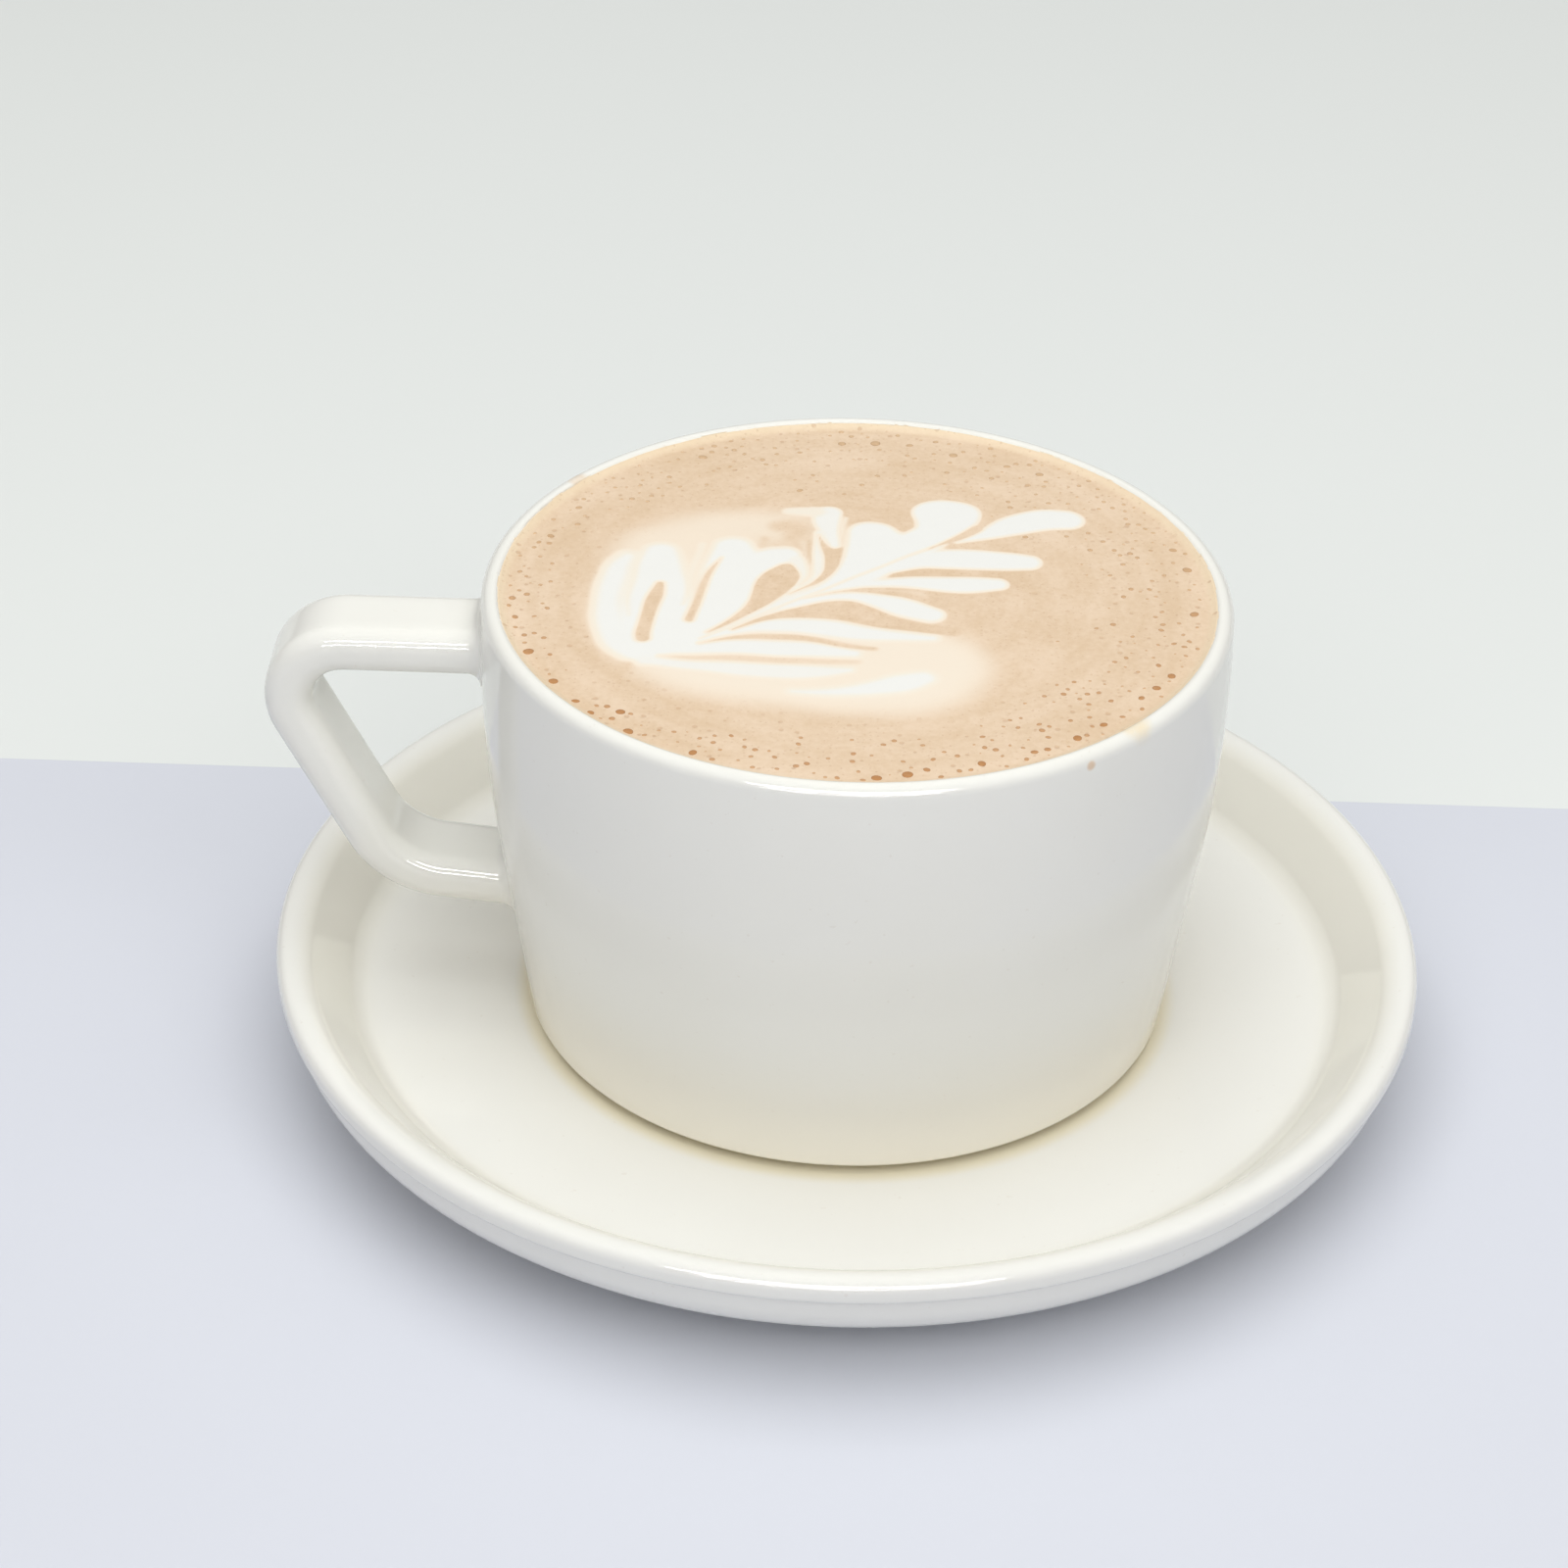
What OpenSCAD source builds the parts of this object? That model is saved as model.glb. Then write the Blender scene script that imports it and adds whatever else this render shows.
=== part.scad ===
// Latte in a thick-walled cafe cup, standing on its saucer.
// Millimetres, +Z up. The origin is on the surface the saucer stands on, under the middle of the cup.

/* [Saucer] */
// Outer radius of the saucer's rim
saucer_r = 77; // [70:0.5:90]
// Height of the rim's top above the table
saucer_h = 17.8; // [15:0.1:24]
// Height of the flat middle that the cup stands on
well_z = 7.8; // [6:0.1:10]
// How far the flat middle reaches out past the cup's foot
well_margin = 2.5; // [1:0.1:6]
// Width of the sloping wall and the rim together, seen from above
wall_w = 10.5; // [9:0.1:14]
// How far the dished floor climbs from the flat middle to the wall
floor_rise = 2.1; // [0:0.1:3]
// Radius of the cove between floor and wall
cove_r = 4; // [1:0.5:6]
// Width of the rim at its top, before its edges are rounded
rim_w = 2; // [1.8:0.1:4]
// Rounding of the rim's two upper edges
rim_edge_r = 1.35; // [0.6:0.05:1.35]
// Height of the band round the outside of the rim
band_h = 3.7; // [3:0.1:5]
// How far the body steps in under the band
band_step = 0.8; // [0.4:0.1:1.5]
// Thickness of the saucer's middle
saucer_t = 4.6; // [3.5:0.1:5.5]
// How far the shoulder under the rim lies inside the rim's edge
shoulder_in = 2; // [1.5:0.1:4]
// Height of the shoulder under the rim
shoulder_z = 7.7; // [7:0.1:10]
// Radius of the shoulder under the rim
shoulder_r = 7; // [3:0.5:8]
// Outer radius of the saucer's foot ring
ring_r = 50; // [42:0.5:60]
// Width of the saucer's foot ring
ring_w = 4; // [3:0.5:6]

/* [Cup] */
// Largest outer radius of the cup, near its top
belly_r = 48.7; // [40:0.1:58]
// Height of the cup from its lower outer edge to the lip's top
cup_h = 60.9; // [50:0.1:75]
// How far the widest place lies below the lip's top
belly_drop = 10.9; // [6:0.1:14]
// Slope of the straight lower wall away from upright, in degrees
draft = 8.2; // [4:0.1:10]
// Radius of the long curve from the lower wall to the widest place
belly_curve_r = 154; // [100:1:200]
// Rounding of the lower outer edge
base_edge_r = 1.2; // [0.6:0.1:2]
// Thickness of the lip
lip_t = 2.4; // [2:0.1:3]
// Rounding of the lip's outer edge
lip_outer_r = 1.5; // [1:0.1:1.8]
// Radius of the long curve of the inner wall below the lip
inner_curve_r = 100; // [80:1:150]
// Thickness of the cup's floor
cup_floor_t = 5.2; // [4:0.1:8]
// Radius of the corner between inner wall and floor
inner_corner_r = 14; // [8:0.5:18]
// How far the cup's foot ring lies inside its lower outer edge
foot_inset = 4.6; // [2:0.1:8]
// Width of the cup's foot ring
foot_w = 4; // [3:0.5:6]
// Height of the cup's lower outer edge above the saucer
foot_h = 1.2; // [0.8:0.1:2]
// Depth of the hollow inside the foot ring
foot_hollow = 1.6; // [1:0.1:2.5]

/* [Handle] */
// Width of the handle across the grip
handle_w = 12.6; // [10:0.1:16]
// Thickness of the handle
handle_t = 6.3; // [5.5:0.1:8]
// Rounding of the handle's four long edges
handle_edge_r = 2.7; // [2:0.1:2.7]
// How far the handle stands out from the cup's widest place
handle_out = 28.2; // [24:0.1:34]
// How far the middle of the upper arm lies below the lip's top
upper_arm_drop = 9.1; // [7:0.1:14]
// Bend radius at the top of the grip
upper_bend_r = 7.5; // [6:0.1:10]
// Slope of the grip below level, in degrees
grip_slope = 63; // [55:1:75]
// Bend radius at the foot of the grip
lower_bend_r = 12; // [8:0.1:16]
// Height where the middle of the lower arm meets the wall, above the cup's lower edge
lower_arm_z = 15.9; // [12:0.1:20]
// Slope of the lower arm, which falls towards the cup, in degrees
lower_arm_slope = 6; // [0:0.5:12]
// Radius of the fillet where each arm runs into the wall
root_fillet = 1.6; // [1:0.1:3]

/* [Drink] */
// How far the drink stands below the lip's top
headspace = 0.9; // [0.9:0.1:10]

/* [Hidden] */
// Facets of full circles, and steps along each computed arc
$fn = 96;
arc_steps = 8;
// Steps of the handle's sweep: along its edge rounding, its two bends and its two flares
edge_steps = 5;
upper_steps = 18;
lower_steps = 9;
flare_steps = 4;
// How far the flares reach into the wall
flare_sink = 1.2;
// Overshoot of cutting shapes past the faces they cut
past = 1;
// Small roundings that nothing else depends on: saucer's floor, band, foot rings and the cup's foot
floor_blend_r = 20;
band_edge_r = 0.9;
band_root_r = 0.3;
underside_r = 3;
ring_edge_r = 1;
foot_edge_r = 0.8;
foot_root_r = 0.4;
// How much wider each foot ring is at its root than where it stands
ring_draft = 2;
ring_inner_draft = 1;
foot_draft = 0.5;
foot_inner_draft = 1;

// Heights above the table
cup_z = well_z + foot_h;
lip_z = cup_z + cup_h;
drink_z = lip_z - headspace;

// --- Outlines: points in the plane of radius and height ---

function unit(v) = v / norm(v);
function arc(centre, r, from, to) =
    [for (i = [0:arc_steps]) let (a = from + (to - from) * i / arc_steps) centre + r * [cos(a), sin(a)]];
// The corner at b, on the way from a to c, rounded with radius r
function corner(a, b, c, r) =
    let (u = unit(a - b), v = unit(c - b), half = acos(u * v) / 2)
    let (centre = b + unit(u + v) * r / sin(half), p = b + u * r / tan(half) - centre)
    let (turn = (180 - 2 * half) * sign(cross(-u, v)), start = atan2(p.y, p.x))
    arc(centre, r, start, start + turn);
// An outline whose corners are [radius, height, rounding]; a rounding of 0 stays sharp
function rounded(p) =
    [for (i = [0:len(p) - 1])
        let (a = p[(i + len(p) - 1) % len(p)], b = p[i], c = p[(i + 1) % len(p)])
        each b[2] == 0 ? [[b.x, b.y]] : corner([a.x, a.y], [b.x, b.y], [c.x, c.y], b[2])];

// --- Cup's outside, whose lower edge sets the foot and the saucer's flat middle ---

belly_top_z = lip_z - belly_drop;
// Outer radius of the upper wall, along the long curve through the widest place
function belly_at(z) = belly_r - belly_curve_r + sqrt(pow(belly_curve_r, 2) - pow(z - belly_top_z, 2));
cone_top = [belly_at(belly_top_z - belly_curve_r * sin(draft)), belly_top_z - belly_curve_r * sin(draft)];
// Outer radius of the straight lower wall
function cone_at(z) = cone_top.x - (cone_top.y - z) * tan(draft);
foot_r = cone_at(cup_z) - foot_inset;

// --- Saucer ---

well_r = foot_r + well_margin;
wall_foot = [saucer_r - wall_w, well_z + floor_rise];
under_z = well_z - saucer_t;
band_z = saucer_h - band_h;
body_r = saucer_r - band_step;

saucer_outline = rounded([
    [0, well_z, 0],
    [well_r, well_z, floor_blend_r],
    [wall_foot.x, wall_foot.y, cove_r],
    [saucer_r - rim_w, saucer_h, rim_edge_r],
    [saucer_r, saucer_h, rim_edge_r],
    [saucer_r, band_z, band_edge_r],
    [body_r, band_z, band_root_r],
    [saucer_r - shoulder_in, shoulder_z, shoulder_r],
    [ring_r + ring_draft, under_z, underside_r],
    [ring_r, 0, ring_edge_r],
    [ring_r - ring_w, 0, ring_edge_r],
    [ring_r - ring_w - ring_inner_draft, under_z, ring_edge_r],
    [0, under_z, 0]]);

module saucer() {
    color("whitesmoke") rotate_extrude() polygon(saucer_outline);
}

// --- Cup ---

lip_out_z = lip_z - lip_outer_r;
lip_mid_r = belly_at(lip_out_z) - lip_outer_r;
lip_inner_r = lip_t - lip_outer_r;
brim = [lip_mid_r - lip_inner_r, lip_z - lip_inner_r];
inner_cone_top = brim - inner_curve_r * [1 - cos(draft), sin(draft)];
cup_floor_z = cup_z + cup_floor_t;
inner_floor_r = inner_cone_top.x - (inner_cone_top.y - cup_floor_z) * tan(draft);

belly_curve = arc([belly_r - belly_curve_r, belly_top_z], belly_curve_r,
    -draft, asin((lip_out_z - belly_top_z) / belly_curve_r));
body_outline = concat(
    rounded([
        [0, well_z + foot_hollow, 0],
        [foot_r - foot_w - foot_inner_draft, well_z + foot_hollow, ring_edge_r],
        [foot_r - foot_w, well_z, foot_edge_r],
        [foot_r, well_z, foot_edge_r],
        [foot_r + foot_draft, cup_z, foot_root_r],
        [cone_at(cup_z), cup_z, base_edge_r],
        [cone_top.x, cone_top.y, 0]]),
    belly_curve,
    arc([lip_mid_r, lip_out_z], lip_outer_r, 0, 90),
    [[0, lip_z]]);

inner_corner = corner([0, cup_floor_z], [inner_floor_r, cup_floor_z], inner_cone_top, inner_corner_r);
cavity_outline = concat(
    [[0, cup_floor_z]],
    inner_corner,
    arc(brim - [inner_curve_r, 0], inner_curve_r, -draft, 0),
    arc([lip_mid_r, brim.y], lip_inner_r, 180, 90),
    [[lip_mid_r, lip_z + past], [0, lip_z + past]]);

module cavity() {
    rotate_extrude() polygon(cavity_outline);
}

// --- Handle: one sweep of a rounded section along a middle line of arcs and straight arms ---

// Travel along the middle line starts level, away from the cup, and turns down and back towards it
function travel(turn) = [cos(turn), -sin(turn)];
function outward(turn) = [sin(turn), cos(turn)];
grip_turn = 180 - grip_slope;
low_turn = 180 - lower_arm_slope;

upper_arm_z = lip_z - upper_arm_drop;
upper_root = [belly_at(upper_arm_z), upper_arm_z];
upper_centre = [belly_r + handle_out - handle_t / 2 - upper_bend_r, upper_arm_z - upper_bend_r];
lower_root = [cone_at(cup_z + lower_arm_z), cup_z + lower_arm_z];
// The lower bend's centre: a bend radius inside both the grip and the lower arm
grip_top = upper_centre + (upper_bend_r - lower_bend_r) * outward(grip_turn);
grip_len = -(lower_bend_r + (grip_top - lower_root) * outward(low_turn)) / (travel(grip_turn) * outward(low_turn));
lower_centre = grip_top + grip_len * travel(grip_turn);

// Outer radius of the cup's wall, and how far its surface falls back a distance y to the side
function wall_at(z) = z < cone_top.y ? cone_at(z) : belly_at(z);
function fall_back(z, y) = wall_at(z) - sqrt(pow(wall_at(z), 2) - y * y);

// Rounded rectangle as [outward, sideways] points, made larger all round by grow
function section(grow) =
    let (r = handle_edge_r + grow, t = handle_t / 2 - handle_edge_r, w = handle_w / 2 - handle_edge_r)
    [for (q = [0:3], i = [0:edge_steps])
        let (a = 90 * (q + i / edge_steps), side = [[1, 1], [-1, 1], [-1, -1], [1, -1]][q])
        [t * side.x + r * cos(a), w * side.y + r * sin(a)]];
// A ring of points across the middle line
function ring(middle, turn) =
    [for (s = section(0)) let (p = middle + s.x * outward(turn)) [-p.x, s.y, p.y]];
// A ring in the flare that carries an arm into the wall; angle goes from 0 on the arm to 90 on the wall
function flare(root, turn, away, angle, sink = 0) =
    let (gap = root_fillet * (1 - sin(angle)) - sink)
    [for (s = section(root_fillet * (1 - cos(angle))))
        let (p = root + s.x * outward(turn), q = p + away * (gap - fall_back(p.y, s.y) - p.x + wall_at(p.y)))
        [-q.x, s.y, q.y]];

// Rings go from inside the wall, out along the upper arm, down the grip and back into the wall
handle_rings = concat(
    [flare(upper_root, 0, travel(0), 90, flare_sink)],
    [for (i = [0:flare_steps]) flare(upper_root, 0, travel(0), 90 * (1 - i / flare_steps))],
    [for (i = [0:upper_steps]) let (a = grip_turn * i / upper_steps)
        ring(upper_centre + upper_bend_r * outward(a), a)],
    [for (i = [0:lower_steps]) let (a = grip_turn + (low_turn - grip_turn) * i / lower_steps)
        ring(lower_centre + lower_bend_r * outward(a), a)],
    [for (i = [0:flare_steps]) flare(lower_root, low_turn, -travel(low_turn), 90 * i / flare_steps)],
    [flare(lower_root, low_turn, -travel(low_turn), 90, flare_sink)]);

module handle() {
    n = len(section(0));
    last = len(handle_rings) - 1;
    polyhedron(
        points = [for (r = handle_rings) each r],
        faces = concat(
            [[for (k = [0:n - 1]) k]],
            [for (i = [0:last - 1], k = [0:n - 1])
                [i * n + k, (i + 1) * n + k, (i + 1) * n + (k + 1) % n, i * n + (k + 1) % n]],
            [[for (k = [n - 1:-1:0]) last * n + k]]));
}

module cup() {
    color("ghostwhite") union() {
        difference() {
            rotate_extrude() polygon(body_outline);
            cavity();
        }
        handle();
    }
}

// --- Drink: fills the cavity up to its level ---

module coffee() {
    color("burlywood") intersection() {
        cavity();
        cylinder(h = drink_z, r = 2 * belly_r);
    }
}

saucer();
cup();
coffee();
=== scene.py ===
# %% [markdown]
# # A latte in its cup and saucer
# A milk coffee with a poured leaf stands in a thick white cup with a strap handle, on a dished saucer.
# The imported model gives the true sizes. It is loaded first, as a fixed frame, and each of its three
# solids is then replaced by a finer piece: turned pottery, a swept handle, and a drink with foam and a
# poured pattern.

# %% Load the frame and note its sizes
import math
import random

import bmesh
import bpy
import numpy as np
from mathutils import Matrix, Vector, noise


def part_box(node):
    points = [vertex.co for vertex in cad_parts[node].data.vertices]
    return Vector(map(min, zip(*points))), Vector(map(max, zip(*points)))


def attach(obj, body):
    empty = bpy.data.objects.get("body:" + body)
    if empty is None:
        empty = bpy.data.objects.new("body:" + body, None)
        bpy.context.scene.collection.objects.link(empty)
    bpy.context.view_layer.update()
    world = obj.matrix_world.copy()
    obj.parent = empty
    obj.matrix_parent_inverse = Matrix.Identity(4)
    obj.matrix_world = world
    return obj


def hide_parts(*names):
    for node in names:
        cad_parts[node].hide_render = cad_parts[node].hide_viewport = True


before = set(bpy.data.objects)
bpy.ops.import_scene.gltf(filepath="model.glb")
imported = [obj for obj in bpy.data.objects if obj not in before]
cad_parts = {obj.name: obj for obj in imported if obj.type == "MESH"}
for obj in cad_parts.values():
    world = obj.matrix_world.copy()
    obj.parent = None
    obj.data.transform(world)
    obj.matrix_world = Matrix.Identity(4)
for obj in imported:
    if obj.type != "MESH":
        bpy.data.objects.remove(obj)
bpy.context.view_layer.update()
MM = 0.001
saucer_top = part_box("saucer")[1]
cup_bottom, cup_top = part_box("cup")
drink_bottom, drink_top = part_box("coffee")
print("saucer", saucer_top / MM, "cup", cup_bottom / MM, cup_top / MM, "drink", drink_top / MM)

# %% [markdown]
# ## The camera
# A still life is composed before it is lit, so the camera comes first. It stands in front of the cup and
# looks down at it through a long lens, which keeps the circles of cup and saucer close to true ellipses.
# Yaw, pitch and roll could be typed in as Euler angles, but turning three unit vectors one after the
# other shows what each angle does.

# %% Place the camera
CAMERA_BACK = 443.27 * MM
CAMERA_UP = 322.75 * MM
YAW = math.radians(-1.1541)
PITCH = math.radians(32.5743)
ROLL = math.radians(-1.2355)
LENS = 90.917

level = Vector((math.sin(YAW), math.cos(YAW), 0))
view = level * math.cos(PITCH) - Vector((0, 0, math.sin(PITCH)))
side = Vector((math.cos(YAW), -math.sin(YAW), 0))
right = math.cos(ROLL) * side + math.sin(ROLL) * view.cross(side)
up = right.cross(view)

camera = bpy.data.objects.new("camera", bpy.data.cameras.new("camera"))
camera.data.lens = LENS
camera.data.sensor_width = 36
aim = Matrix((right, up, -view)).transposed().to_4x4()
camera.matrix_world = Matrix.Translation((0, -CAMERA_BACK, CAMERA_UP)) @ aim
bpy.context.scene.collection.objects.link(camera)
bpy.context.scene.camera = camera
bpy.context.scene.view_settings.view_transform = "Standard"
print("camera looks along", view)

# %% [markdown]
# ## Turned outlines
# Cup, saucer and drink are all bodies of revolution. A potter's template is half of the section, and
# spinning it round the axis makes the body. The template starts as a few corners joined by edges, and a
# vertex bevel turns each corner into a round of its own radius. A curve object could hold the outline
# too, but the bevel states each radius exactly, as a drawing does.


# %% A template with rounded corners
def rounding_cut(a, b, c, radius):
    """How far along its edges the corner b is cut to get a round of that radius, and how far it turns."""
    to_a = (Vector(a[:2]) - Vector(b[:2])).normalized()
    to_c = (Vector(c[:2]) - Vector(b[:2])).normalized()
    opening = to_a.angle(to_c)
    return radius / math.tan(opening / 2), math.pi - opening


def template(corners, step=0.25 * MM):
    """A chain of edges in the XZ plane, its rounds in steps. Each corner is (radius, height, rounding)."""
    bm = bmesh.new()
    points = [bm.verts.new((x, 0, z)) for x, z, _ in corners]
    for a, b in zip(points, points[1:]):
        bm.edges.new((a, b))
    for i, (_, _, rounding) in enumerate(corners):
        if rounding:
            cut, turn = rounding_cut(corners[i - 1], corners[i], corners[i + 1], rounding)
            segments = max(4, min(20, round(turn * rounding / step), round(math.degrees(turn) / 3) + 3))
            bmesh.ops.bevel(bm, geom=[points[i]], affect="VERTICES", offset=cut, offset_type="OFFSET",
                            segments=segments, profile=0.5, material=-1)
    return bm


# %% Spin a template into a closed body
TURN_STEPS = 192


def turned(corners):
    """The body that a template sweeps out in one turn, with its poles closed and its faces outwards."""
    bm = template(corners)
    bmesh.ops.spin(bm, geom=bm.verts[:] + bm.edges[:], cent=(0, 0, 0), axis=(0, 0, 1),
                   angle=math.tau, steps=TURN_STEPS, use_merge=True)
    bmesh.ops.remove_doubles(bm, verts=bm.verts, dist=0.001 * MM)
    bmesh.ops.recalc_face_normals(bm, faces=bm.faces)
    return bm


# %% Turn a bmesh into a piece of the object
def piece(name, bm, material, node=None):
    """An object at the origin that rides on the one body, with smooth shading and its finish."""
    mesh = bpy.data.meshes.new(name)
    bm.to_mesh(mesh)
    bm.free()
    mesh.shade_smooth()
    mesh.materials.append(material)
    made = bpy.data.objects.new(name, mesh)
    bpy.context.scene.collection.objects.link(made)
    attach(made, "root")
    if node:
        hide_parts(node)
    print(name, len(mesh.vertices), "vertices", len(mesh.polygons), "faces")


# %% [markdown]
# ## Shader maths as Python
# A finish is a small sum over a surface: a colour, plus a little noise, times a mask. Wiring each Math
# node by hand hides that sum, so a small class wraps an output socket and lets Python's operators add the
# nodes.


# %% A socket that can be added and multiplied
class Wire:
    """An output socket. Operators on it add Math nodes, and node() adds any other node."""

    def __init__(self, socket):
        self.socket = socket

    def node(self, kind, settings, inputs, output=0):
        """Adds a node: first its settings, such as a ramp's stops, then the values or wires it takes."""
        tree = self.socket.id_data
        made = tree.nodes.new(kind)
        for name, value in settings.items():
            if name == "stops":
                ramp = made.color_ramp
                while len(ramp.elements) < len(value):
                    ramp.elements.new(0.5)
                for element, (place, colour) in zip(ramp.elements, value):
                    element.position = place
                    element.color = colour
            else:
                setattr(made, name, value)
        for name, value in inputs.items():
            if isinstance(value, Wire):
                tree.links.new(value.socket, made.inputs[name])
            else:
                made.inputs[name].default_value = value
        return Wire(made.outputs[output])

    def maths(self, operation, first, second):
        return self.node("ShaderNodeMath", {"operation": operation}, {0: first, 1: second})

    def __add__(self, other):
        return self.maths("ADD", self, other)

    __radd__ = __add__

    def __sub__(self, other):
        return self.maths("SUBTRACT", self, other)

    def __rsub__(self, other):
        return self.maths("SUBTRACT", other, self)

    def __mul__(self, other):
        return self.maths("MULTIPLY", self, other)

    __rmul__ = __mul__


# %% Short names for the nodes that the finishes share
def srgb(red, green, blue):
    """A colour given as it looks on a screen, 0 to 255, made linear for a shader."""
    return tuple((c / 255 / 12.92 if c <= 10 else ((c / 255 + 0.055) / 1.055) ** 2.4)
                 for c in (red, green, blue)) + (1,)


def clouds(at, size, detail=2, roughness=0.5):
    """Soft noise from 0 to 1 whose patches are about that size across."""
    return at.node("ShaderNodeTexNoise", {}, {"Vector": at, "Scale": 1 / size, "Detail": detail,
                                              "Roughness": roughness})


def fade(value, start, end):
    """0 where the value is start, 1 where it is end, with a soft run between."""
    return value.node("ShaderNodeMapRange", {"interpolation_type": "SMOOTHSTEP"},
                      {"Value": value, "From Min": start, "From Max": end})


def blend(factor, first, second):
    """The first colour where the factor is 0, the second where it is 1."""
    return factor.node("ShaderNodeMix", {"data_type": "RGBA"}, {0: factor, 6: first, 7: second}, 2)


def flattened(at):
    """The place below or above on the plane z = 0."""
    return at.node("ShaderNodeVectorMath", {"operation": "MULTIPLY"}, {0: at, 1: (1, 1, 0)})


def axis_distance(at):
    """How far a place is from the Z axis."""
    return at.node("ShaderNodeVectorMath", {"operation": "LENGTH"}, {0: flattened(at)}, 1)


def attribute(at, name):
    """A number that the mesh keeps for each of its points."""
    return at.node("ShaderNodeAttribute", {"attribute_name": name}, {}, "Fac")


def near(at, place, radius, soft):
    """1 within that radius of a place given in mm, with a soft edge outside it."""
    apart = at.node("ShaderNodeVectorMath", {"operation": "DISTANCE"}, {0: at, 1: Vector(place) * MM}, 1)
    return fade(apart, radius + soft, radius)


def raised(height, depth):
    """A normal that is bumped by the height, which runs from 0 to 1, over that depth in metres."""
    return height.node("ShaderNodeBump", {}, {"Height": height, "Distance": depth, "Strength": 1.0})


def finish(name, **constants):
    """A new material, its shader with constants on its own sockets, and a wire of Object coordinates."""
    made = bpy.data.materials.new(name)
    made.use_nodes = True
    shader = made.node_tree.nodes["Principled BSDF"]
    for socket, value in constants.items():
        shader.inputs[socket.replace("_", " ")].default_value = value
    return made, shader, Wire(made.node_tree.nodes.new("ShaderNodeTexCoord").outputs["Object"])


def feed(shader, **wires):
    """Links wires to the shader's sockets, named with _ for a space."""
    for socket, wire in wires.items():
        shader.id_data.links.new(wire.socket, shader.inputs[socket.replace("_", " ")])


# %% [markdown]
# ## Glaze
# Cup and saucer are stoneware under a glossy, slightly creamy white glaze. Such a glaze is never quite
# even: it pools a little, its surface rolls in waves a few millimetres long, and dust leaves specks. A
# flat white looks like plastic, so clouds a few centimetres wide tint the colour, finer ones vary the
# gloss, and a shallow bump makes the reflections swim. Marks of use could be a painted image; here each
# is a soft spot round a place, made ragged by noise, and it is mixed over the glaze.


# %% A glossy glaze
def glaze(name, white, cream, tinted):
    """A glaze that drifts from white to cream; tinted lays more colours over it: stains, painted light and
    shade.
    """
    material, shader, at = finish(name, IOR=1.5, Specular_IOR_Level=0.5)
    pooling = clouds(at, 30 * MM, 3)
    specks = fade(clouds(at, 0.9 * MM, 1), 0.74, 0.8)
    waves = clouds(at, 9 * MM, 2)
    glazed = blend(specks * 0.12, blend(pooling, white, cream), srgb(196, 180, 160))
    feed(shader,
         Base_Color=tinted(at, glazed),
         Roughness=0.03 + clouds(at, 4 * MM, 3) * 0.03,
         Normal=raised(waves, 0.02 * MM))
    return material


def stains_and_painted_bounce(at, colour):
    """Painted warm bounce light low on the wall, and what the drink left on the lip: line, film, smear and
    drop.
    """
    height = at.node("ShaderNodeSeparateXYZ", {}, {0: at}, 2)
    # Painted warm light bounced up from the saucer: the wall turns creamier towards its foot.
    low = fade(height, cup_bottom.z + 22 * MM, cup_bottom.z + 2 * MM)
    colour = blend(low * 0.8, colour, srgb(243, 237, 222))
    lip = cup_top.z / MM
    past_brim = axis_distance(at) - (drink_top.x + 0.15 * MM)
    off_brim = past_brim.node("ShaderNodeMath", {"operation": "ABSOLUTE"}, {0: past_brim})
    ragged = clouds(at, 1.5 * MM, 3)
    line = (1 - fade(off_brim, 0.1 * MM, 0.35 * MM)) * near(at, (-40.8, 20.6, lip - 0.8), 6.5 * MM, 2 * MM)
    colour = blend(line * ragged * 0.8, colour, srgb(200, 184, 162))
    film = near(at, (-38, 27, lip), 0.9 * MM, 1.2 * MM)
    colour = blend(film * ragged * 0.8, colour, srgb(228, 200, 166))
    smear = near(at, (34, -31.6, lip), 1 * MM, 2.2 * MM)
    colour = blend(smear * ragged * 0.9, colour, srgb(240, 218, 172))
    drop = near(at, (28.9, -39.0, lip - 1.5), 0.35 * MM, 0.5 * MM)
    colour = blend(drop * 0.7, colour, srgb(222, 186, 146))
    speck = near(at, (-47.6, 9.5, lip - 1), 0.15 * MM, 0.2 * MM)
    return blend(speck * 0.7, colour, srgb(120, 116, 112))


def painted_saucer_shade(at, colour):
    """Painted warm shade on the saucer's sloping wall, and round the foot of the cup where it stands."""
    out = axis_distance(at)
    # Painted shade: the sloping wall is darker and warmer, as light bounced between wall and cup makes it.
    painted_wall_shade = fade(out, 63 * MM, 68 * MM) * fade(out, 75 * MM, 72 * MM)
    colour = blend(painted_wall_shade, colour, srgb(239, 237, 227))
    # Painted shade: a warm, darker ring round the cup's foot, where it meets the saucer.
    painted_foot_shade = fade(out, 45.6 * MM, 43 * MM)
    return blend(painted_foot_shade, colour, srgb(238, 231, 208))


cup_glaze = glaze("cup glaze", srgb(242, 242, 237), srgb(239, 238, 230), stains_and_painted_bounce)
saucer_glaze = glaze("saucer glaze", srgb(241, 241, 236), srgb(238, 237, 231), painted_saucer_shade)

# %% [markdown]
# ## The saucer
# The saucer has a flat middle, a floor that climbs gently to a short sloping wall, and a rolled rim with
# a narrow band outside. Underneath, a shoulder runs in to a foot ring. It could be a flat cylinder with
# insets and extrusions, but a turned template keeps every round true, so highlights run round the rim
# unbroken.

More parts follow.
